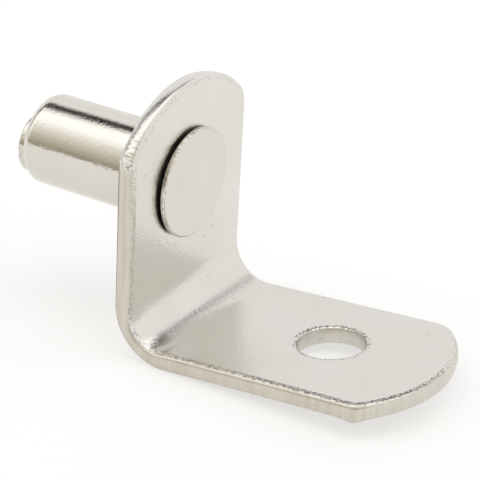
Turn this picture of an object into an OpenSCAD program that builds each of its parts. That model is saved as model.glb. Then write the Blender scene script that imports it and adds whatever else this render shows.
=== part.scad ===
// Shelf support pin: a strip of sheet steel, folded to an L, with a round pin riveted through its
// upright leg. The pin goes into a hole in the side of a cabinet and the foot carries the shelf.
// The origin is on the pin's axis, on the leg's back face, which bears on the cabinet side.
// The pin points along -X, the foot reaches along +X, and +Z is up. Sizes are in millimetres.

/* [Pin] */
// Diameter of the pin, for a quarter-inch hole
pin_d = 6.35; // [6:0.05:8]
// Length of the pin from the leg's back face to its rounded end
pin_len = 10.7; // [6:0.1:20]
// Rounding of the pin's end, which leads it into its hole
pin_end_r = 0.8; // [0.2:0.05:1.5]
// Diameter of the cropped stub that is left on the pin's end
stub_d = 4.3; // [2:0.1:4.6]
// Length of the stub beyond the pin's end
stub_len = 0.7; // [0.2:0.05:1.5]
// Rounding of the stub's edge
stub_edge_r = 0.15; // [0.05:0.05:0.15]
// Offset of the stub across the strip, towards the -Y edge
stub_off_y = 0.28; // [0:0.01:0.4]
// Offset of the stub downwards
stub_off_z = 0.45; // [0:0.01:0.5]

/* [Rivet] */
// Diameter of the pin's neck, which passes through the leg
neck_d = 4.8; // [3:0.1:5.8]
// Gap around the neck in the leg's hole
neck_gap = 0.02; // [0.01:0.01:0.1]
// Diameter of the flat rivet head on the leg's front face
head_d = 7.6; // [6.5:0.1:11]
// Thickness of the rivet head
head_t = 0.5; // [0.3:0.05:1.2]
// Rounding of the rivet head's front rim
head_edge_r = 0.2; // [0.05:0.05:0.25]

/* [Strip] */
// Thickness of the sheet
sheet_t = 1.17; // [0.8:0.01:2]
// Width of the strip
strip_w = 13.45; // [12:0.05:15]
// Rounding of the strip's edges on the shelf side, left by rolling and stamping
edge_r = 0.3; // [0.05:0.05:0.4]

/* [Fold] */
// Angle between the upright leg and the foot: closed past square, so that the foot's tip takes the load
fold_angle = 85; // [75:1:105]
// Inside radius of the fold
fold_r = 2.5; // [1:0.1:4]
// Height of the upright leg's top above the pin's axis
leg_rise = 7.18; // [5:0.05:12]
// Depth of the outer corner, where the back face and the foot's underside would meet, below the pin's axis
corner_drop = 10.88; // [9:0.05:16]
// Length of the foot from that corner to its tip
foot_len = 21.2; // [18:0.1:30]

/* [Ends] */
// Radius of the arc that cuts the upright leg's top
leg_end_r = 8.7; // [8:0.1:14]
// Offset of that arc's centre towards the strip's +Y edge
leg_end_shift = 0.3; // [-0.5:0.05:0.5]
// Radius of the arc that cuts the foot's tip
foot_end_r = 9; // [8:0.1:14]
// Offset of that arc's centre towards the strip's +Y edge
foot_end_shift = -0.2; // [-0.5:0.05:0.5]
// Rounding of each arc's corner at the strip's +Y edge
corner_r = 2; // [0.5:0.1:3]

/* [Screw hole] */
// Diameter of the screw hole in the foot
hole_d = 4.6; // [3:0.1:6.5]
// Distance of the hole's centre from the outer corner, along the foot
hole_at = 12.65; // [11.5:0.05:16]
// Offset of the hole's centre from the strip's middle, towards the +Y edge
hole_off_y = 0.4; // [-1:0.05:1]
// Rounding of the hole's upper rim
hole_rim_r = 0.25; // [0.05:0.05:0.4]

/* [Hidden] */
$fn = 96;
steel = [0.80, 0.78, 0.75];
rivet_steel = [0.83, 0.81, 0.78];
// How far a cutting shape reaches past the metal that it cuts
over = 1;
// How far a rounded corner stands past the lines that it touches, so that it meets them cleanly
touch = 0.004;
// The fold turns the strip through this angle, about an axis along Y at fold_axis
fold_turn = 180 - fold_angle;
// The leg and the foot each carry half of the fold, and a little more, so that the halves overlap
fold_share = fold_turn / 2 + 5;
outer_r = fold_r + sheet_t;
// Length from the outer corner to where each straight run starts
fold_setback = outer_r / tan(fold_angle / 2);
fold_z = fold_setback - corner_drop;
fold_axis = [outer_r, 0, fold_z];
leg_run = leg_rise - fold_z;
foot_run = foot_len - fold_setback;

// The strip's cross-section: its back is on X = 0, and the two edges on its shelf side are rounded
module strip_section() {
    translate([0, -strip_w / 2]) square([sheet_t - edge_r, strip_w]);
    translate([0, edge_r - strip_w / 2]) square([sheet_t, strip_w - 2 * edge_r]);
    for (side = [-1, 1])
        translate([sheet_t - edge_r, side * (strip_w / 2 - edge_r)]) circle(edge_r);
}

// Half the profile of a disc of radius r and thickness t, with its upper rim rounded by rim
module disc_profile(r, t, rim) {
    square([r, t - rim]);
    square([r - rim, t]);
    translate([r - rim, t - rim]) circle(rim);
}

// A disc of the sheet's thickness that faces +X, with the strip's own edge rounding
module sheet_disc(r) {
    rotate([0, 90, 0]) rotate_extrude() disc_profile(r, sheet_t, edge_r);
}

// A cutter for a straight hole of diameter d through the sheet, along X
module sheet_drill(d) {
    translate([-over, 0, 0]) rotate([0, 90, 0]) cylinder(d = d, h = sheet_t + 2 * over);
}

// A slab through the sheet: everything above Z = 0, out to a distance of reach
module upper_slab(reach) {
    translate([-over, -reach, 0]) cube([sheet_t + 2 * over, 2 * reach, reach]);
}

// A straight run of strip from Z = 0 up to the top of its arc-shaped end, whose centre is set off the
// strip's middle by shift. The arc's corner at the +Y edge is rounded, and the other one is sharp.
module strip_run(run, arc_r, shift) {
    reach = run + strip_w;
    arc_z = run - arc_r;
    // Centre of the rounded corner, which touches the end arc from inside, and the strip's edge
    corner_y = strip_w / 2 - corner_r;
    corner_rise = sqrt(pow(arc_r - corner_r, 2) - pow(corner_y - shift, 2));
    corner_at = [0, corner_y, arc_z + corner_rise];
    contact_angle = atan2(corner_rise, corner_y - shift);
    intersection() {
        linear_extrude(run) strip_section();
        union() {
            translate([0, shift, arc_z]) sheet_disc(arc_r);
            translate([0, 0, arc_z]) mirror([0, 0, 1]) upper_slab(reach);
        }
        union() {
            translate(corner_at) {
                sheet_disc(corner_r + touch);
                mirror([0, 0, 1]) upper_slab(reach);
                rotate([contact_angle, 0, 0]) upper_slab(reach);
            }
        }
    }
}

// Carries a shape from the line of the upright leg, round the fold, to the line of the foot
module past_fold() {
    translate(fold_axis) rotate([0, -fold_turn, 0]) translate(-fold_axis) children();
}

// Bent strip about the fold's axis, from one angle to another, where the upright leg ends at zero
module fold_arc(from, to) {
    translate(fold_axis) rotate([0, 180, 0]) rotate([90, 0, 0])
        rotate_extrude(angle = to - from, start = from) translate([outer_r, 0]) mirror([1, 0]) strip_section();
}

// The screw hole, drawn at the strip's back face, with its rounded rim on the shelf side
module screw_hole() {
    hole_r = hole_d / 2;
    rim_top = hole_r + hole_rim_r;
    sheet_drill(hole_d);
    rotate([0, 90, 0]) rotate_extrude() difference() {
        translate([0, sheet_t - hole_rim_r]) square([rim_top, hole_rim_r + over]);
        translate([rim_top, sheet_t - hole_rim_r]) circle(hole_rim_r);
    }
}

module bracket() {
    color(steel) difference() {
        union() {
            translate([0, 0, fold_z]) strip_run(leg_run, leg_end_r, leg_end_shift);
            fold_arc(0, fold_share);
            past_fold() {
                translate([0, 0, fold_z]) mirror([0, 0, 1]) strip_run(foot_run, foot_end_r, foot_end_shift);
                fold_arc(-fold_share, 0);
            }
        }
        sheet_drill(neck_d + 2 * neck_gap);
        past_fold() translate([0, hole_off_y, fold_z - (hole_at - fold_setback)]) screw_hole();
    }
}

// Half the pin's profile along its axis: the shank below zero, then the neck and the rivet head
module pin_profile() {
    mirror([0, 1]) disc_profile(pin_d / 2, pin_len, pin_end_r);
    translate([0, -over]) square([neck_d / 2, over + sheet_t + head_t / 2]);
    translate([0, sheet_t]) disc_profile(head_d / 2, head_t, head_edge_r);
}

module pin() {
    color(rivet_steel) {
        rotate([0, 90, 0]) rotate_extrude() pin_profile();
        translate([over - pin_len, -stub_off_y, -stub_off_z]) rotate([0, -90, 0])
            rotate_extrude() disc_profile(stub_d / 2, over + stub_len, stub_edge_r);
    }
}

bracket();
pin();
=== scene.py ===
# %% [markdown]
# # A shelf support pin in nickel-plated steel
# A strip of steel is stamped, folded to an L, and riveted to a round pin. The pin goes into a hole in the
# side of a cabinet, and the shelf lies on the foot. This lesson models both pieces again, with the rolled
# rims, the sheared ends and the hammered rivet head that a plain solid lacks, and then gives them their
# bright plating.

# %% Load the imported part
import random
from math import atan2, cos, exp, pi, radians, sin, sqrt, tan

import bmesh
import bpy
from mathutils import Matrix, Vector, noise


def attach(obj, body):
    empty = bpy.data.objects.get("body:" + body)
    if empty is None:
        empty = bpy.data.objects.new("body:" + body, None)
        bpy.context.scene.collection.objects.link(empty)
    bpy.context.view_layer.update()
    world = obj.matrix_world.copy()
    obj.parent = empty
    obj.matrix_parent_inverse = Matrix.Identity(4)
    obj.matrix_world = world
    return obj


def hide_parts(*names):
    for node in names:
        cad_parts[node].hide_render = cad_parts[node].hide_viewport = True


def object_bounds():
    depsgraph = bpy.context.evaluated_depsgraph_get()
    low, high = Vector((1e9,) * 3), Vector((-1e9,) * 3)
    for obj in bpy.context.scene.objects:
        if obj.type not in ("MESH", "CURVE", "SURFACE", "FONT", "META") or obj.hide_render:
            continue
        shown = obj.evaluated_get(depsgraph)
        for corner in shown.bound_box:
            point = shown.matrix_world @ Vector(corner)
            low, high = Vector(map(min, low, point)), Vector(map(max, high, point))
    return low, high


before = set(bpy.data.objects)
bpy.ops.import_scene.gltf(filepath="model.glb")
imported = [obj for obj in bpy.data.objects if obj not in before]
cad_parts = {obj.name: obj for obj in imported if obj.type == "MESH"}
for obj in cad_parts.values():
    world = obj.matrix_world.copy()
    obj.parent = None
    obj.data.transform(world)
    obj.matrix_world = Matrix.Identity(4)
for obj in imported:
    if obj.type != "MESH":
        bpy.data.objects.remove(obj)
cad_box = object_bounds()
print("solids:", sorted(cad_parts))

# %% [markdown]
# ## Sizes
# These are the sizes of the real support in millimetres. They could be measured off its solids, but a list
# at the top is easier to read and to change. Only the rims, the tip's near corner and the underside of the
# rivet head differ from the solids, which are plainer there. The mesh is modelled in millimetres too,
# because Blender's mesh tools work best on sizes near one, and it is scaled to metres at the end. The
# strip's near edge is the one at -Y, on the camera's side.

# %% The sizes of the strip and the pin
# Strip: thickness and width, then the rolled rim across and down, its soft shoulder, and the back rim
SHEET_T, STRIP_W = 1.17, 13.45
RIM_W, RIM_D = 0.456, 0.32
SHOULDER_W, SHOULDER_RISE = 0.18, 0.044
BACK_RIM = 0.09
# Fold: the angle between leg and foot, the inside radius, and the lengths that meet at the outer corner
FOLD_ANGLE, FOLD_R = radians(85), 2.5
LEG_RISE, CORNER_DROP, FOOT_LEN = 7.18, 10.88, 21.2
# Ends: each arc with its centre's place across the strip, then the far corners and the tip's near one
LEG_END_R, LEG_END_SHIFT = 8.7, 0.3
FOOT_END_R, FOOT_END_SHIFT = 9.0, -0.2
CORNER_R, TIP_CORNER_R = 2.0, 0.75
# Screw hole: radius, distance from the outer corner, offset across the strip, and its rolled rim
HOLE_R, HOLE_AT, HOLE_OFF_Y = 2.3, 12.65, 0.4
HOLE_RIM_W, HOLE_RIM_D = 0.36, 0.18
# Pin: shank, neck, rivet head with the gap under its lifted rim, and the stub with its place off the axis
PIN_R, PIN_LEN, PIN_END_R = 3.175, 10.7, 0.8
NECK_R, NECK_GAP = 2.4, 0.02
HEAD_R, HEAD_T, HEAD_EDGE_R = 3.8, 0.5, 0.14
HEAD_GAP, HEAD_SEAT_R = 0.2, 2.62
STUB_R, STUB_LEN, STUB_EDGE_R = 2.15, 0.7, 0.15
STUB_OFF = (-0.28, -0.45)

OUTER_R = FOLD_R + SHEET_T
FOLD_TURN = pi - FOLD_ANGLE
SETBACK = OUTER_R / tan(FOLD_ANGLE / 2)
FOLD_Z = SETBACK - CORNER_DROP
print(f"the fold turns the strip by {FOLD_TURN * 180 / pi:.0f} degrees, from {-FOLD_Z:.2f} mm below the pin")

# %% [markdown]
# ## Drawing with a vertex
# A flat shape can be typed in as a list of points, but then every arc is a list of numbers. Here one
# vertex walks round the outline instead: it is extruded for a straight side, and spun about a centre for
# an arc.

# %% Straight and arc steps
ACROSS_SHEET = Vector((1, 0, 0))
ACROSS_STRIP = Vector((0, 1, 0))
ALONG_STRIP = Vector((0, 0, 1))


def only(parts, kind):
    """The parts of one kind, such as vertices, in what an operator returned."""
    return [part for part in parts if isinstance(part, kind)]


def draw_line(bm, start, to):
    """Extrudes a vertex to a point, and returns the new vertex."""
    end = bmesh.ops.extrude_vert_indiv(bm, verts=[start])["verts"][0]
    end.co = to
    return end


def draw_arc(bm, start, centre, axis, angle, steps):
    """Spins a vertex about a centre, and returns the last vertex."""
    spun = bmesh.ops.spin(bm, geom=[start], cent=centre, axis=axis, angle=angle, steps=steps)
    return only(spun["geom_last"], bmesh.types.BMVert)[0]


print("a vertex can draw lines and arcs")

# %% [markdown]
# ## The flat blank
# The strip is first a flat blank, cut from coil: two long straight edges, an arc at each end, and the
# arc's corner rounded at one edge only, where the cutter's corner is rounded too. It could be a cube with
# a Boolean at each end, but an outline keeps every edge clean for the rolled rims. The foot is drawn
# straight below the leg for now, with the length of strip that the fold will use up between them.

# %% Find the centres of the end arcs and their corners
FOLD_FLAT = FOLD_TURN * (FOLD_R + SHEET_T / 2)
FOOT_START = FOLD_Z - FOLD_FLAT
TIP_Z = FOOT_START - (FOOT_LEN - SETBACK)
HALF_W = STRIP_W / 2


def arc_end(apex, way, radius, shift, near_r):
    """An end arc's centre, then each corner's centre with the angle at which it meets the arc."""
    centre = Vector((0, shift, apex - way * radius))
    corners = []
    for side, corner_r in ((1, CORNER_R), (-1, near_r)):
        y = side * (HALF_W - corner_r)
        rise = sqrt((radius - corner_r) ** 2 - (y - shift) ** 2)
        corners.append((Vector((0, y, centre.z + way * rise)), atan2(rise, y - shift)))
    return centre, *corners


leg_centre, (leg_corner, leg_far), (leg_near, leg_start) = arc_end(
    LEG_RISE, 1, LEG_END_R, LEG_END_SHIFT, near_r=0)
tip_centre, (tip_corner, tip_far), (tip_near, tip_end) = arc_end(
    TIP_Z, -1, FOOT_END_R, FOOT_END_SHIFT, near_r=TIP_CORNER_R)
print(f"the leg's sharp corner is at {leg_near.z:.2f} mm, and the flat foot's tip at {TIP_Z:.2f} mm")

# %% Walk round the blank
ARC_STEPS, CORNER_STEPS = 70, 24
strip = bmesh.new()
edge_wear_and_painted_shade = strip.verts.layers.float.new("edge_wear_and_painted_shade")
first = strip.verts.new(leg_near)
walker = draw_arc(strip, first, leg_centre, ACROSS_SHEET, leg_far - leg_start, ARC_STEPS)
walker = draw_arc(strip, walker, leg_corner, ACROSS_SHEET, -leg_far, CORNER_STEPS)
walker = draw_line(strip, walker, (0, HALF_W, tip_corner.z))
walker = draw_arc(strip, walker, tip_corner, ACROSS_SHEET, -tip_far, CORNER_STEPS)
walker = draw_arc(strip, walker, tip_centre, ACROSS_SHEET, tip_far - tip_end, ARC_STEPS)
walker = draw_arc(strip, walker, tip_near, ACROSS_SHEET, tip_end - pi, CORNER_STEPS // 2)
bmesh.ops.contextual_create(strip, geom=[walker, first])
print(f"outline of {len(strip.edges)} edges, {LEG_RISE - TIP_Z:.1f} mm long")

# %% Fill the outline round its two holes
HOLE_Z = FOOT_START - (HOLE_AT - SETBACK)
HOLE_SIDES, FLAT_ANGLE = 128, radians(1)
# Width of the narrow band that keeps the shading of a flat face flat up to its rim
HOLD = 0.05
rivet_hole = Matrix.Rotation(pi / 2, 4, "Y")
screw_hole = Matrix.Translation((0, HOLE_OFF_Y, HOLE_Z)) @ rivet_hole
circles = []
for place, radius in ((rivet_hole, NECK_R + NECK_GAP), (screw_hole, HOLE_R + HOLE_RIM_W + HOLD)):
    ring = bmesh.ops.create_circle(strip, segments=HOLE_SIDES, radius=radius, matrix=place)["verts"]
    circles.append([edge for edge in strip.edges if edge.verts[0] in ring])
bmesh.ops.triangle_fill(strip, use_beauty=True, edges=strip.edges[:], normal=ACROSS_SHEET)
inner_edges = [edge for edge in strip.edges if len(edge.link_faces) == 2]
bmesh.ops.dissolve_limit(strip, angle_limit=FLAT_ANGLE, verts=[], edges=inner_edges)
for circle in circles:
    if not any(len(face.verts) == HOLE_SIDES for face in circle[0].link_faces):
        bmesh.ops.edgeloop_fill(strip, edges=circle)
print(f"flat blank of {len(strip.faces)} faces")

# %% [markdown]
# ## Thickness and rolled rims
# A stamping die drags the metal down at the edges of the face it enters, so the shelf side has soft rolled
# rims, each with a faint shoulder before the flat face, and the back has only a fine rim. A bevel would do
# for one edge, but at the sharp corners it would pinch. Insetting the whole face in small steps, each a
# little higher, rounds the outline in one go. A last narrow inset keeps the shading of the flat face flat.

# %% Thicken the blank
blank_faces = strip.faces[:]
bmesh.ops.translate(strip, verts=strip.verts[:], vec=ACROSS_SHEET * BACK_RIM)
raised = bmesh.ops.extrude_face_region(strip, geom=blank_faces)["geom"]
bmesh.ops.translate(strip, verts=only(raised, bmesh.types.BMVert),
                    vec=ACROSS_SHEET * (SHEET_T - RIM_D - BACK_RIM))
bmesh.ops.recalc_face_normals(strip, faces=strip.faces[:])
front = only(raised, bmesh.types.BMFace)
back = [face for face in strip.faces if face.normal.x < -cos(FLAT_ANGLE)]
print(f"{len(front)} faces in front and {len(back)} behind")

# %% Roll the rims
RIM_STEPS, BACK_RIM_STEPS = 9, 3
ROLL_SWEEP, SHOULDER_SHARES = radians(72), (0.7, 0.3)


def inset(bm, faces, inward, rise=0):
    """Insets a flat region from its outline, and lifts it."""
    bmesh.ops.inset_region(bm, faces=faces, thickness=inward, depth=rise, use_boundary=True,
                           use_even_offset=True)


def round_rim(bm, faces, width, depth, steps, over_edge, sweep=pi / 2):
    """Insets a flat region in steps along an ellipse's arc: over its outer edge, or down into a hole."""
    for step in range(steps):
        a, b = (sweep * k / steps for k in (step, step + 1))
        flat, steep = cos(a) - cos(b), sin(b) - sin(a)
        if over_edge:
            inset(bm, faces, width * flat, depth * steep)
        else:
            inset(bm, faces, width * steep, -depth * flat)


roll_w = (RIM_W - SHOULDER_W) / (1 - cos(ROLL_SWEEP))
roll_d = (RIM_D - SHOULDER_RISE) / sin(ROLL_SWEEP)
round_rim(strip, front, roll_w, roll_d, RIM_STEPS, over_edge=True, sweep=ROLL_SWEEP)
for part in SHOULDER_SHARES:
    inset(strip, front, part * SHOULDER_W, part * SHOULDER_RISE)
round_rim(strip, back, BACK_RIM, BACK_RIM, BACK_RIM_STEPS, over_edge=True)
for side in (front, back):
    inset(strip, side, HOLD)
print(f"blank of {len(strip.faces)} faces")

# %% [markdown]
# ## The two holes
# The screw hole is punched from the shelf side, so its upper rim is rolled in like the outline. The rivet
# hole is straight, and the pin hides it. A Boolean could cut them, but would leave long thin faces beside
# the rim. Here each hole is a round face on both sides. The faces are inset to the wall's radius, removed,
# and their two loops are bridged to make the wall.

# %% Punch the holes
discs = [face for face in strip.faces if len(face.verts) == HOLE_SIDES]
rivet_discs = [disc for disc in discs if disc.calc_center_median().z > FOLD_Z]
screw_discs = [disc for disc in discs if disc.calc_center_median().z <= FOLD_Z]
for disc in screw_discs:
    inset(strip, [disc], HOLD)
    if disc.normal.x > 0:
        round_rim(strip, [disc], HOLE_RIM_W, HOLE_RIM_D, RIM_STEPS, over_edge=False)
    else:
        inset(strip, [disc], HOLE_RIM_W)
walls = [[edge for disc in pair for edge in disc.edges] for pair in (rivet_discs, screw_discs)]
bmesh.ops.delete(strip, geom=discs, context="FACES_ONLY")
for loops in walls:
    bmesh.ops.bridge_loops(strip, edges=loops)
print("hole walls bridged:", [len(loops) for loops in walls])

# %% [markdown]
# ## Slicing the ends
# The cut ends of a real strip carry marks across their thickness, and a mesh can only show them where it
# has vertices. Subdividing the whole strip would make it heavy. Cutting planes add vertices just where
# the marks run: one along the torn band, a comb of them at the near edge, and one under the leg's corner.

# %% Slice the torn band and the near corners
SNAP = 1e-4
TORN_T, RIPPLE_CUTS, RIPPLE_PITCH = 0.5, 25, 0.055
# The leg's near wall has the cut walls' painted shade from this far below its corner
DULL_DROP = 2 * RIM_W


def slice_at(bm, normal, place):
    """Cuts all through a mesh by a plane, at a place along the plane's normal."""
    whole = bm.verts[:] + bm.edges[:] + bm.faces[:]
    bmesh.ops.bisect_plane(bm, geom=whole, dist=SNAP, plane_co=normal * place, plane_no=normal)


slice_at(strip, ACROSS_SHEET, TORN_T)
for step in range(1, RIPPLE_CUTS + 1):
    slice_at(strip, ACROSS_STRIP, RIPPLE_PITCH * step - HALF_W)
slice_at(strip, ALONG_STRIP, leg_near.z - DULL_DROP)
print(f"sliced to {len(strip.faces)} faces")

# %% [markdown]
# ## Where the plate is gritty, and where shade is painted
# Plate is thin and gritty along the rolled rims, and a fine dark line is painted along them: a painted
# reflection of the dark that their curve picks up, strong along the foot and round its hole, fading out at
# the far side of the tip, and faint on the leg. The cut walls are rough, as plate lies rough on them, and
# painted shade makes them duller. It stands in for the shaded table close under the metal, which they
# reflect. A noise over the whole piece could not follow the edges. So each vertex carries a number that the
# material reads later, its edge wear and painted shade: 0 is plain plate, 0.5 is a rim's darkest painted
# line, and 1 is a cut wall in full painted shade. Between 0.5 and 1 a wall has part of the painted shade.

# %% Mark the rims and the cut walls
# Painted dark line on the rims of the foot, the leg and the hole, and painted shade on the hole's wall and
# the other cut walls
FOOT_RIM_DARK, LEG_RIM_DARK, HOLE_WALL_SHADE, CUT_WALL_SHADE = 0.5, 0.14, 0.84, 1
# Depth of the part of a rim that has the painted dark line, and how close a vertex has to be to count as on
# a face or a wall
DARK_RIM_DEPTH, ON_FACE, ON_WALL = 0.1, 0.002, 0.01
# Length of the tip, the width over which its rims' painted dark line fades towards +Y, and the share that is
# left
TIP_ZONE, RIM_DARK_FADE, LEAST_RIM_DARK = 5, 3, 0.2
for vert in strip.verts:
    below_face = SHEET_T - vert.co.x
    from_hole = sqrt((vert.co.y - HOLE_OFF_Y) ** 2 + (vert.co.z - HOLE_Z) ** 2)
    in_hole = abs(from_hole - HOLE_R) < ON_WALL
    if below_face > ON_FACE and (vert.co.x > ON_FACE or in_hole):
        shaded = FOOT_RIM_DARK if vert.co.z < FOLD_Z else LEG_RIM_DARK
        if vert.co.z < TIP_Z + TIP_ZONE and vert.co.y > 0:
            shaded *= max(LEAST_RIM_DARK, 1 - vert.co.y / RIM_DARK_FADE)
        wall = HOLE_WALL_SHADE if in_hole else CUT_WALL_SHADE
        vert[edge_wear_and_painted_shade] = shaded if below_face < DARK_RIM_DEPTH else wall
print("worn vertices:", sum(vert[edge_wear_and_painted_shade] > 0 for vert in strip.verts))

# %% [markdown]
# ## Sheared ends
# The ends are sheared off. A sheared face has a bright band, where the cutter rubbed, and behind it a torn
# band that falls back a little, with a fine crease between them. Streaks run across both, and close to the
# leg's sharp corner, where the cutter came in, they grow to ripples. They are only hundredths of a
# millimetre deep, but a bump in the material would leave the outline too clean, so the vertices are moved
# along the spokes of each end's arc. The leg's end gets none of the cut walls' painted shade, and the
# foot's end gets a little less of it.

# %% Shear both ends
TORN_FALL, STREAK = 0.13, 0.004
RIPPLE, RIPPLE_LENGTH, RIPPLE_REACH, RIPPLE_SINK = 0.032, 0.34, 0.9, 0.6
# An end's vertices are well above its arc's centre, as a share of the radius, and close to the arc
LEAST_RISE, ARC_BAND = 0.4, RIM_W + 0.1
SHINY_DROP, TIP_WALL_SHADE = 1.5 * RIM_W, 0.9
shear = random.Random(19)
for centre, radius, way, ripple in ((leg_centre, LEG_END_R, 1, RIPPLE), (tip_centre, FOOT_END_R, -1, 0)):
    depth = {}
    for vert in strip.verts:
        spoke = Vector((0, vert.co.y - centre.y, vert.co.z - centre.z))
        if way * spoke.z < LEAST_RISE * radius or abs(spoke.length - radius) > ARC_BAND:
            continue
        # The cut walls' painted shade is taken off the leg's end, and the foot's end gets a little less of
        # it
        dull = vert[edge_wear_and_painted_shade] == CUT_WALL_SHADE
        if dull and vert.co.z > leg_near.z - SHINY_DROP:
            vert[edge_wear_and_painted_shade] = 0
        elif dull and abs(vert.co.y) < HALF_W - RIM_W - HOLD:
            vert[edge_wear_and_painted_shade] = TIP_WALL_SHADE
        # One streak for each hundredth of a radian
        column = round(atan2(spoke.y, way * spoke.z), 2)
        if column not in depth:
            along = abs(spoke.y + HALF_W + centre.y) * radius / abs(spoke.z)
            wave = sin(2 * pi * along / RIPPLE_LENGTH) - RIPPLE_SINK
            depth[column] = shear.uniform(-STREAK, 0) + ripple * wave * exp(-along / RIPPLE_REACH)
        near_rim = max(0, 1 - (radius - spoke.length) / RIM_W)
        torn = TORN_FALL * max(0, 1 - vert.co.x / TORN_T)
        vert.co += spoke.normalized() * (min(0, depth[column]) * near_rim - torn)
    print(f"{len(depth)} streaks on the end at z {centre.z + way * radius:.1f}")

# %% [markdown]
# ## The burr
# Shearing draws the underside of the foot's near corner down to a small burr. It could be an added cone,
# but metal that is drawn out has no seam. A few more slices give the corner vertices, and those close to
# it are pulled down, most at the corner itself.

# %% Draw the burr down
BURR, BURR_REACH, BURR_CUTS = 0.2, 1.6, (0.3, 0.6, 1, 1.4, 1.8)
for reach in BURR_CUTS:
    slice_at(strip, ALONG_STRIP, tip_near.z + reach)
for vert in strip.verts:
    far = sqrt((vert.co.y + HALF_W) ** 2 + (vert.co.z - tip_near.z) ** 2) / BURR_REACH
    if vert.co.x < TORN_T and far < 1:
        vert.co.x -= BURR * (1 - far) ** 2 * (1 - vert.co.x / TORN_T)
print(f"burr of {BURR} mm on the foot's corner")

# %% [markdown]
# ## The fold
# A press folds the blank over a rounded nose, which also presses the fold's near edge a little thinner.
# The mesh is folded in the same way: it is sliced into narrow lines across the fold, each line is slid
# back to where the fold starts, and is turned about the fold's axis by its share of the angle. The foot
# takes the whole turn. A Simple Deform modifier would bend the metal as well, but would not keep the
# thickness and the radius exact.

# %% Slice the fold into lines
FOLD_STEPS, FOLD_MARGIN = 44, 0.2
THINNED, THINNED_REACH, THINNED_CUTS = 0.36, 2.6, 9
pitch = FOLD_FLAT / FOLD_STEPS
slice_at(strip, ALONG_STRIP, FOLD_Z + FOLD_MARGIN)
slice_at(strip, ALONG_STRIP, FOOT_START - FOLD_MARGIN)
for step in range(FOLD_STEPS + 1):
    slice_at(strip, ALONG_STRIP, FOLD_Z - pitch * step)
# The comb of ripple cuts already covers the near half of the thinned edge
for step in range(1, THINNED_CUTS):
    slice_at(strip, ACROSS_STRIP, THINNED_REACH * (1 - 0.5 * step / THINNED_CUTS) - HALF_W)
fold_lines = [[] for _ in range(FOLD_STEPS + 1)]
for vert in strip.verts:
    fold_lines[max(0, min(FOLD_STEPS, round((FOLD_Z - vert.co.z) / pitch)))].append(vert)
print(f"{FOLD_STEPS} lines, {pitch:.2f} mm apart")

# %% Fold the blank
# A faint painted dark line along the top of the fold, strongest halfway round it
FOLD_DARK, ON_TOP = 0.02, 0.001
fold_axis = Vector((OUTER_R, 0, FOLD_Z))
for step in range(1, FOLD_STEPS + 1):
    bent = sin(pi * step / FOLD_STEPS)
    for vert in fold_lines[step]:
        if vert.co.x > SHEET_T - ON_TOP:
            vert[edge_wear_and_painted_shade] = FOLD_DARK * bent
        if vert.co.x > SHEET_T / 2:
            near = max(0, 1 - (vert.co.y + HALF_W) / THINNED_REACH)
            vert.co.x -= THINNED * bent * near ** 2 * (2 * vert.co.x / SHEET_T - 1)
    bmesh.ops.translate(strip, verts=fold_lines[step], vec=ALONG_STRIP * (pitch * step))
    bmesh.ops.rotate(strip, verts=fold_lines[step], cent=fold_axis,
                     matrix=Matrix.Rotation(-FOLD_TURN * step / FOLD_STEPS, 3, "Y"))
print(f"foot folded to {FOLD_ANGLE * 180 / pi:.0f} degrees from the leg")

# %% [markdown]
# ## From a mesh to a piece
# A finished piece sits at the origin with its place in its mesh, so that patterns in its material keep
# their real size. Its faces are smooth, apart from edges that turn by more than a set angle, so that rims
# and bends shine as true curves and cut corners stay crisp.

# %% Make the bracket's object
MM = 0.001
STRIP_CREASE = radians(38)


def make_piece(name, bm, crease):
    """Scales a mesh in millimetres to metres, closes it, and makes its object."""
    bmesh.ops.remove_doubles(bm, verts=bm.verts[:], dist=SNAP)
    bmesh.ops.recalc_face_normals(bm, faces=bm.faces[:])
    bmesh.ops.scale(bm, vec=(MM, MM, MM), verts=bm.verts[:])
    for face in bm.faces:
        face.smooth = True
    mesh = bpy.data.meshes.new(name)
    bm.to_mesh(mesh)
    open_edges = sum(not edge.is_manifold for edge in bm.edges)
    print(f"{name}: {len(bm.faces)} faces, {open_edges} open edges, {bm.calc_volume() / MM ** 3:.1f} mm3")
    bm.free()
    mesh.set_sharp_from_angle(angle=crease)
    piece = bpy.data.objects.new(name, mesh)
    bpy.context.scene.collection.objects.link(piece)
    return piece


bracket = make_piece("folded_strip", strip, STRIP_CREASE)

# %% [markdown]
# ## The pin
# The pin is turned from bar: a shank with a rounded end, a shoulder that bears on the back of the strip,
# and a narrower neck through the strip. The neck's end is hammered down to a flat head, whose rim lifts a
# little off the strip. Stacked cylinders would need joining, and have no rounds. A half profile is drawn
# along the axis instead, as for a lathe, and spun once round.

# %% Turn a profile about the pin's axis
TURN_STEPS, LINE = 160, 0


def turn_profile(start, path):
    """Draws a half profile from a place on the axis, and spins it once round.

    Each step of the path has a place along the axis, a radius and a number of arc steps. Without arc
    steps it is the end of a straight line, and with them it is the centre of a quarter round.
    """
    bm = bmesh.new()
    walker = bm.verts.new((start, 0, 0))
    for x, radius, arc_steps in path:
        if arc_steps == LINE:
            walker = draw_line(bm, walker, (x, 0, radius))
        else:
            walker = draw_arc(bm, walker, (x, 0, radius), ACROSS_STRIP, pi / 2, arc_steps)
    bmesh.ops.spin(bm, geom=bm.verts[:] + bm.edges[:], cent=(0, 0, 0), axis=ACROSS_SHEET, angle=2 * pi,
                   steps=TURN_STEPS, use_merge=True)
    return bm


print(f"profiles are turned in {TURN_STEPS} steps")

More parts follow.
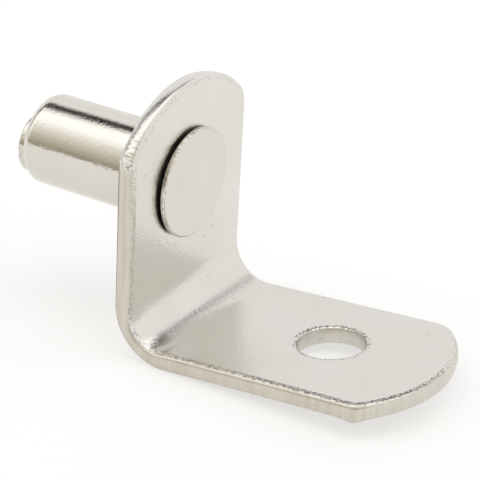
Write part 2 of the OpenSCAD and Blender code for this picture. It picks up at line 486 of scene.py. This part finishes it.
# %% Turn the pin
PIN_END_STEPS, UNDER_STEPS, HEAD_EDGE_STEPS = 14, 5, 8
UNDER_R = 0.06
head_back, head_front = SHEET_T + HEAD_GAP, SHEET_T + HEAD_T
shank_path = [
    (-PIN_LEN, PIN_R - PIN_END_R - HOLD, LINE),
    (-PIN_LEN, PIN_R - PIN_END_R, LINE),
    (PIN_END_R - PIN_LEN, PIN_R - PIN_END_R, PIN_END_STEPS),
    (PIN_END_R - PIN_LEN + HOLD, PIN_R, LINE),
    (0, PIN_R, LINE)]
neck_path = [
    (0, NECK_R, LINE),
    (SHEET_T, NECK_R, LINE)]
head_path = [
    (SHEET_T, HEAD_SEAT_R, LINE),
    (head_back, HEAD_SEAT_R + HEAD_GAP, LINE),
    (head_back, HEAD_R - UNDER_R, LINE),
    (head_back + UNDER_R, HEAD_R - UNDER_R, UNDER_STEPS),
    (head_front - HEAD_EDGE_R, HEAD_R, LINE),
    (head_front - HEAD_EDGE_R, HEAD_R - HEAD_EDGE_R, HEAD_EDGE_STEPS),
    (head_front, HEAD_R - HEAD_EDGE_R - HOLD, LINE),
    (head_front, 0, LINE)]
shank = turn_profile(-PIN_LEN, shank_path + neck_path + head_path)
print(f"pin of {len(shank.faces)} faces, {PIN_LEN + head_front:.2f} mm long")

# %% [markdown]
# ## The hammered rim
# Hammering leaves the head's rim nicked and a little uneven, most where the blows landed off centre. A
# Displace modifier could roughen it, but would move the flat face as well. Three sizes of noise pull in
# and lift only the vertices of the rim.

# %% Make the head's rim ragged
RAGGED, RAGGED_BAND = 0.035, 3 * HEAD_EDGE_R
STRUCK_SIDE, LEAST_STRUCK, STRUCK_POWER = Vector((0, -0.77, 0.64)), 0.35, 4
NICKS = ((5, 1), (17, 0.7), (41, 0.5))
NICK_FROM, LIFT = 0.1, 0.5
for vert in shank.verts:
    radial = Vector((0, vert.co.y, vert.co.z))
    if vert.co.x > SHEET_T + HEAD_GAP / 2 and radial.length > HEAD_R - RAGGED_BAND:
        around = radial.normalized()
        struck = LEAST_STRUCK + max(0, around.dot(STRUCK_SIDE)) ** STRUCK_POWER
        hammered = sum(weight * noise.noise(around * fineness) for fineness, weight in NICKS)
        nick = around * min(0, hammered - NICK_FROM) + ACROSS_SHEET * (LIFT * hammered)
        vert.co += nick * (RAGGED * struck)
print(f"rim ragged by about {RAGGED} mm")

# %% [markdown]
# ## The cropped stub
# The bar is cropped off behind the pin's end, which leaves a short round stub a little off the pin's axis.
# It is a second turned profile. As it is off the axis, it can't be part of the first one. It overlaps the
# shank, so a Boolean modifier joins the two into one closed skin.

# %% Turn the stub and join it to the pin
STUB_ROOT, STUB_EDGE_STEPS, PIN_CREASE = 1, 6, radians(50)
stub_end = -PIN_LEN - STUB_LEN
stub = turn_profile(stub_end, [
    (stub_end, STUB_R - STUB_EDGE_R, LINE),
    (stub_end + STUB_EDGE_R, STUB_R - STUB_EDGE_R, STUB_EDGE_STEPS),
    (STUB_ROOT - PIN_LEN, STUB_R, LINE),
    (STUB_ROOT - PIN_LEN, 0, LINE)])
bmesh.ops.translate(stub, verts=stub.verts[:], vec=(0, *STUB_OFF))
pin = make_piece("riveted_pin", shank, PIN_CREASE)
stub_piece = make_piece("stub", stub, PIN_CREASE)
join = pin.modifiers.new("Join the stub", "BOOLEAN")
join.operation = "UNION"
join.solver = "EXACT"
join.object = stub_piece
joined = bpy.data.meshes.new_from_object(pin.evaluated_get(bpy.context.evaluated_depsgraph_get()))
pin.modifiers.clear()
pin.data = joined
joined.set_sharp_from_angle(angle=PIN_CREASE)
bpy.data.objects.remove(stub_piece)
print(f"joined pin of {len(joined.polygons)} faces")

# %% Mark the pin's rims for painted dark
# Painted shade on the rivet head's rounded rim over the gap, and a faint painted dark line round the stub
HEAD_RIM_DARK, STUB_DARK, STUB_CLEAR = 0.3, 0.22, 0.02
pin_wear_and_shade = joined.attributes.new("edge_wear_and_painted_shade", "FLOAT", "POINT")
for vert, wear_and_shade in zip(joined.vertices, pin_wear_and_shade.data):
    along = vert.co.x / MM
    across = sqrt(vert.co.y ** 2 + vert.co.z ** 2) / MM
    if along > SHEET_T + HEAD_GAP / 2 and across > HEAD_R - HEAD_EDGE_R:
        wear_and_shade.value = HEAD_RIM_DARK
    elif along < -PIN_LEN - STUB_CLEAR:
        wear_and_shade.value = STUB_DARK
    else:
        wear_and_shade.value = 0
print("worn vertices:", sum(wear_and_shade.value > 0 for wear_and_shade in pin_wear_and_shade.data))

# %% [markdown]
# ## Building a material
# Colours are written as the hex values that a paint program shows, and one function turns them to the
# linear values that a renderer needs. Nodes could be added and linked one line at a time, but then the
# links are hard to follow. One more function adds a node with its settings, its values and its links.

# %% Colour and node helpers


def linear(code):
    """An sRGB hex colour as linear red, green, blue and alpha."""
    parts = [int(code[k:k + 2], 16) / 255 for k in (1, 3, 5)]
    return [p / 12.92 if p <= 0.04045 else ((p + 0.055) / 1.055) ** 2.4 for p in parts] + [1]


def add_node(tree, kind, links=(), values=(), **settings):
    """Adds a node to a tree, with its settings, its input values and its links from other sockets."""
    made = tree.nodes.new(kind)
    for name, value in settings.items():
        setattr(made, name, value)
    for name, value in dict(values).items():
        made.inputs[name].default_value = value
    for name, socket in dict(links).items():
        tree.links.new(socket, made.inputs[name])
    return made


print("a mid grey in linear values:", [round(v, 2) for v in linear("#808080")[:3]])

# %% [markdown]
# ## Plain nickel plate
# Bright nickel is a metal with a warm, slightly yellow tint. Here it lies over rolled or turned steel, so
# it isn't a perfect mirror: a faint peel like that of an orange ripples its reflections, tiny pits show as
# dark specks, and the tint changes a little from place to place. A picture of plate could be wrapped round
# the pieces, but noise on Object coordinates needs no unwrapping and keeps its real size: clouds about
# 4 mm across, and pits about 0.9 mm apart where there are any.

# %% Clouds, peel and pits
PER_MM = 1 / MM
CLOUD_MM, PIT_SPACING_MM = 4, 0.9
# A pit's floor and edge, as shares of the spacing, and the cloud values at which pits start and are full
PIT_FLOOR, PIT_EDGE = 0.03, 0.09
PITS_FROM, PITS_FULL = 0.5, 0.62
# A Mix node's two colour inputs and its colour output
COLOUR_A, COLOUR_B, MIXED = 6, 7, 2


def plain_plate(tree, at, tint, dull_tint, peel_mm):
    """Adds the patterns of flat plate, and returns its clouds, its peel, its pits and its colour."""
    clouds = add_node(tree, "ShaderNodeTexNoise", {"Vector": at}, {"Scale": PER_MM / CLOUD_MM, "Detail": 3})
    peel = add_node(tree, "ShaderNodeTexNoise", {"Vector": at}, {"Scale": PER_MM / peel_mm, "Detail": 2})
    cells = add_node(tree, "ShaderNodeTexVoronoi", {"Vector": at}, {"Scale": PER_MM / PIT_SPACING_MM})
    pits = add_node(tree, "ShaderNodeMapRange", {"Value": cells.outputs["Distance"]},
                    {"From Min": PIT_FLOOR, "From Max": PIT_EDGE, "To Min": 1, "To Max": 0})
    pitted = add_node(tree, "ShaderNodeMapRange", {"Value": clouds.outputs["Fac"]},
                      {"From Min": PITS_FROM, "From Max": PITS_FULL})
    specks = add_node(tree, "ShaderNodeMath", {0: pits.outputs["Result"], 1: pitted.outputs["Result"]},
                      operation="MULTIPLY")
    cloudy = add_node(tree, "ShaderNodeMix", {"Factor": clouds.outputs["Fac"]},
                      {COLOUR_A: linear(tint), COLOUR_B: linear(dull_tint)}, data_type="RGBA")
    specked = add_node(tree, "ShaderNodeMix",
                       {"Factor": specks.outputs["Value"], COLOUR_A: cloudy.outputs[MIXED]},
                       {COLOUR_B: linear("#8E857A")}, data_type="RGBA")
    return clouds.outputs["Fac"], peel.outputs["Fac"], specks.outputs["Value"], specked.outputs[MIXED]


print(f"clouds {CLOUD_MM} mm across, pits {PIT_SPACING_MM} mm apart")

# %% [markdown]
# ## Gritty rims and painted shade on the cut walls
# The edge wear and painted shade that were marked on the vertices now become colour and grain. On the rims
# it is a gritty surface with a painted brown-black reflection, broken into specks by the grain. On the cut
# walls it is painted shade: a duller, warmer metal with faint drag lines, across the edge of the foot and
# along the edge of the leg. The painted dark could be a second material, but then it would end in a hard
# line. Weights made from the attribute let it fade. Real grit is a few hundredths of a millimetre across,
# too fine to show here, so it is drawn coarser, about 0.18 mm.

# %% Grain, tarnish and drag lines
GRAIN_MM, DRAG_MM, DRAG_LENGTH_MM = 0.18, 0.3, 4
# Mark at which a rim's painted dark line is strongest, and from which a cut wall starts to take painted
# shade
RIM_PEAK, CUT_FROM = 0.5, 0.6
DARK_SPECK_FROM, DARK_SPECK_FULL, DARK_SPECK_MOST = 0.48, 0.63, 1.3
DRAG_FROM, DRAG_FULL = 0.35, 0.65


def grain_and_painted_shade(tree, at, plain_colour):
    """Adds the rims' grain with their painted dark line and the cut walls' painted shade, and returns the
    colour, the cut walls and the rims' grain.
    """
    wear_and_shade = add_node(tree, "ShaderNodeAttribute", attribute_name="edge_wear_and_painted_shade")
    rim = add_node(tree, "ShaderNodeMath", {0: wear_and_shade.outputs["Fac"]}, {1: RIM_PEAK}, operation="PINGPONG")
    cut = add_node(tree, "ShaderNodeMapRange", {"Value": wear_and_shade.outputs["Fac"]}, {"From Min": CUT_FROM})
    grain = add_node(tree, "ShaderNodeTexNoise", {"Vector": at}, {"Scale": PER_MM / GRAIN_MM, "Detail": 1})
    speck_pattern = add_node(tree, "ShaderNodeMapRange", {"Value": grain.outputs["Fac"]},
                       {"From Min": DARK_SPECK_FROM, "From Max": DARK_SPECK_FULL, "To Max": DARK_SPECK_MOST})
    rim_dark_specks = add_node(tree, "ShaderNodeMath", {0: speck_pattern.outputs["Result"], 1: rim.outputs["Value"]},
                       operation="MULTIPLY")
    # Painted dark reflection on the rims, in specks where the grain is high
    rim_darkened = add_node(tree, "ShaderNodeMix",
                         {"Factor": rim_dark_specks.outputs["Value"], COLOUR_A: plain_colour},
                         {COLOUR_B: linear("#584A3A")}, data_type="RGBA")
    stretched = add_node(tree, "ShaderNodeVectorMath", {0: at},
                         {1: (PER_MM / DRAG_MM, PER_MM / DRAG_MM, PER_MM / DRAG_LENGTH_MM)},
                         operation="MULTIPLY")
    drag = add_node(tree, "ShaderNodeTexNoise", {"Vector": stretched.outputs["Vector"]},
                    {"Scale": 1, "Detail": 2})
    drag_lines = add_node(tree, "ShaderNodeMapRange", {"Value": drag.outputs["Fac"]},
                          {"From Min": DRAG_FROM, "From Max": DRAG_FULL})
    # Painted shade on the cut walls: a duller, darker tint, streaked by the drag lines
    dragged = add_node(tree, "ShaderNodeMix", {"Factor": drag_lines.outputs["Result"]},
                       {COLOUR_A: linear("#D5CFC4"), COLOUR_B: linear("#CAC4B8")}, data_type="RGBA")
    wall_shaded = add_node(tree, "ShaderNodeMix",
                      {"Factor": cut.outputs["Result"], COLOUR_A: rim_darkened.outputs[MIXED],
                       COLOUR_B: dragged.outputs[MIXED]}, data_type="RGBA")
    rim_grain = add_node(tree, "ShaderNodeMath", {0: grain.outputs["Fac"], 1: rim.outputs["Value"]},
                         operation="MULTIPLY")
    return wall_shaded.outputs[MIXED], cut.outputs["Result"], rim_grain.outputs["Value"]


print(f"grain {GRAIN_MM} mm across, drag lines {DRAG_LENGTH_MM} mm long")

# %% [markdown]
# ## The two finishes
# Strip and pin went through the same plating bath, and differ in the steel below. Two copied materials
# would soon drift apart, so one function makes both. Roughness follows the clouds, and rises on the cut
# walls. Peel, pits and grain make the bump.

# %% Put the nickel plate together
GRAIN_DEPTH_MM, CUT_ROUGHER = 0.045, 0.1
CLOUD_LOW, CLOUD_HIGH, GLOSS_CHANGE = 0.3, 0.7, 0.2


def nickel_plate(name, tint, dull_tint, roughness, peel_mm, peel_depth_mm):
    """Nickel plate over steel, with peel, pits, gritty edges with painted shade, and a changing gloss."""
    material = bpy.data.materials.new(name)
    material.use_nodes = True
    tree = material.node_tree
    tree.nodes.clear()
    at = add_node(tree, "ShaderNodeTexCoord").outputs["Object"]
    clouds, peel, specks, plain_colour = plain_plate(tree, at, tint, dull_tint, peel_mm)
    colour, cut, rim_grain = grain_and_painted_shade(tree, at, plain_colour)
    cloudy = add_node(tree, "ShaderNodeMapRange", {"Value": clouds},
                      {"From Min": CLOUD_LOW, "From Max": CLOUD_HIGH,
                       "To Min": roughness * (1 - GLOSS_CHANGE), "To Max": roughness * (1 + GLOSS_CHANGE)})
    rough = add_node(tree, "ShaderNodeMath", {0: cut, 2: cloudy.outputs["Result"]}, {1: CUT_ROUGHER},
                     operation="MULTIPLY_ADD")
    relief = add_node(tree, "ShaderNodeMath", {0: rim_grain, 2: peel}, {1: GRAIN_DEPTH_MM / peel_depth_mm},
                      operation="MULTIPLY_ADD")
    height = add_node(tree, "ShaderNodeMath", {0: relief.outputs["Value"], 1: specks}, operation="SUBTRACT")
    bump = add_node(tree, "ShaderNodeBump", {"Height": height.outputs["Value"]},
                    {"Strength": 1, "Distance": peel_depth_mm * MM})
    shader = add_node(tree, "ShaderNodeBsdfPrincipled",
                      {"Base Color": colour, "Roughness": rough.outputs["Value"],
                       "Normal": bump.outputs["Normal"]}, {"Metallic": 1})
    add_node(tree, "ShaderNodeOutputMaterial", {"Surface": shader.outputs["BSDF"]})
    return material


print("nickel's tint in linear values:", [round(v, 2) for v in linear("#E1DED9")[:3]])

# %% Dress both pieces
# Rolled strip is satin-bright: what it reflects has soft, grainy edges. Peel of a few hundredths of a
# millimetre is too fine to show here, so on both pieces it is drawn coarser, about 0.2 mm across.
strip_nickel = nickel_plate("nickel_plate_on_rolled_strip", "#E1DED9", "#DBD7CF", roughness=0.235,
                            peel_mm=0.18, peel_depth_mm=0.013)
# A turned pin is brighter: crisp light and dark lines run along it
pin_nickel = nickel_plate("nickel_plate_on_turned_pin", "#DEDAD3", "#D6D1C7", roughness=0.12,
                          peel_mm=0.19, peel_depth_mm=0.012)
for piece, material, node, slot in ((bracket, strip_nickel, "bracket", "strip_nickel"),
                                    (pin, pin_nickel, "pin", "pin_nickel")):
    piece.data.materials.clear()
    piece.data.materials.append(material)
    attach(piece, "root")
    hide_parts(node)
print("dressed:", bracket.name, "and", pin.name)

# %% [markdown]
# ## The table
# The support lies on a pale light table, which keeps shade soft and the background white. A plain white
# plane would turn grey around the metal. Some light of its own keeps it pale.

# %% Lay the table
TABLE_HALF, TABLE_CELLS, TABLE_DROP = 0.5, 8, 0.00002
FLOOR_Z = cad_box[0][2] - TABLE_DROP
table = bmesh.new()
bmesh.ops.create_grid(table, x_segments=TABLE_CELLS, y_segments=TABLE_CELLS, size=TABLE_HALF,
                      matrix=Matrix.Translation((0, 0, FLOOR_Z)))
table_mesh = bpy.data.meshes.new("table")
table.to_mesh(table_mesh)
table.free()
floor = bpy.data.objects.new("table", table_mesh)
bpy.context.scene.collection.objects.link(floor)
# Sanded acrylic sheet, lit from below: an even white with no gloss
sheet = bpy.data.materials.new("matt_white_acrylic_lit_from_below")
sheet.use_nodes = True
acrylic = sheet.node_tree.nodes["Principled BSDF"].inputs
acrylic["Base Color"].default_value = linear("#BEBEBE")
acrylic["Roughness"].default_value = 0.9
acrylic["Emission Color"].default_value = linear("#FFFFFF")
acrylic["Emission Strength"].default_value = 0.5
floor.data.materials.append(sheet)
print(f"table at {FLOOR_Z / MM:.2f} mm")

# %% [markdown]
# ## The studio
# Bright metal shows nothing but its surroundings, so the light has to be planned round it. Above is a long
# softbox set square to the camera, and behind the support is a pale backdrop. Between the two is a narrow
# dark gap, and the room behind the camera is dim: these give the pin its black line and its brown shade.
# At the right a pale card closes the set. Area lamps and planes could stand for all this, but would have
# to be kept out of every view. The world holds it as bands round the softbox's long axis.

# %% Light the studio
AZIMUTH = radians(31.087)
# Each band's angle up from the room behind the camera and over to the backdrop, with its colour or level
BANDS = [(0, "#A29A8C"), (42, "#DBD5C6"), (68, "#FFFCF5"),
         (82, 1.3), (97, 1.6), (108, 1.5), (115, 0.9),
         (120, 0.03), (130.8, 0.03),
         (133.2, 1.0), (140, 1.08), (150, 0.98), (180, 0.96)]
BRIGHTEST = 1.6
world = bpy.data.worlds.new("studio")
bpy.context.scene.world = world
world.use_nodes = True
sky = world.node_tree
sky.nodes.clear()
outward = add_node(sky, "ShaderNodeTexCoord").outputs["Generated"]
turned = add_node(sky, "ShaderNodeVectorRotate", {"Vector": outward}, {"Angle": -AZIMUTH},
                  rotation_type="Z_AXIS")
toward = add_node(sky, "ShaderNodeSeparateXYZ", {0: turned.outputs["Vector"]})
room_way = add_node(sky, "ShaderNodeMath", {0: toward.outputs["Y"]}, {1: -1}, operation="MULTIPLY")
round_box = add_node(sky, "ShaderNodeMath", {0: toward.outputs["Z"], 1: room_way.outputs["Value"]},
                     operation="ARCTAN2")
half_turn = add_node(sky, "ShaderNodeMath", {0: round_box.outputs["Value"]}, {1: pi}, operation="DIVIDE")
ramp = add_node(sky, "ShaderNodeValToRGB", {"Fac": half_turn.outputs["Value"]})
stops = ramp.color_ramp.elements
while len(stops) < len(BANDS):
    stops.new(0.5)
for stop, (degrees, light) in zip(stops, BANDS):
    stop.position = degrees / 180
    level = linear(light)[:3] if isinstance(light, str) else [light] * 3
    stop.color = [v / BRIGHTEST for v in level] + [1]
print(f"studio of {len(BANDS)} bands")

# %% Add the side card
CARD_FROM, CARD_FULL, CARD_LEVEL = 0.44, 0.58, 1.02
beside = add_node(sky, "ShaderNodeMapRange", {"Value": toward.outputs["X"]},
                  {"From Min": CARD_FROM, "From Max": CARD_FULL}, interpolation_type="SMOOTHSTEP")
carded = add_node(sky, "ShaderNodeMix",
                  {"Factor": beside.outputs["Result"], COLOUR_A: ramp.outputs["Color"]},
                  {COLOUR_B: [CARD_LEVEL / BRIGHTEST] * 3 + [1]}, data_type="RGBA")
lamp = add_node(sky, "ShaderNodeBackground", {"Color": carded.outputs[MIXED]}, {"Strength": BRIGHTEST})
add_node(sky, "ShaderNodeOutputWorld", {"Surface": lamp.outputs["Background"]})
bpy.context.scene.view_settings.view_transform = "Standard"
print(f"card of level {CARD_LEVEL} at the right")

# %% [markdown]
# ## The camera
# The camera looks down on the support from its near corner, with a long lens and a slight tilt of the
# horizon. It could be placed by eye, but its place was found by fitting the support's edges to the
# picture, so that every edge falls where it should.

# %% Place the camera
TARGET = Vector((5.294, 0, -3.138)) * MM
DISTANCE, ELEVATION, ROLL = 137.996 * MM, radians(25.92), radians(3.086)
FOCAL_PX, FRAME_PX, SENSOR_MM = 2083.96, 480, 36
lens = bpy.data.cameras.new("camera")
lens.sensor_width = SENSOR_MM
lens.lens = SENSOR_MM * FOCAL_PX / FRAME_PX
lens.clip_start = MM
camera = bpy.data.objects.new("camera", lens)
turn = (Matrix.Rotation(AZIMUTH, 4, "Z") @ Matrix.Rotation(pi / 2 - ELEVATION, 4, "X")
        @ Matrix.Rotation(ROLL, 4, "Z"))
camera.matrix_world = Matrix.Translation(TARGET) @ turn @ Matrix.Translation((0, 0, DISTANCE))
bpy.context.scene.collection.objects.link(camera)
bpy.context.scene.camera = camera
print(f"lens {lens.lens:.1f} mm")
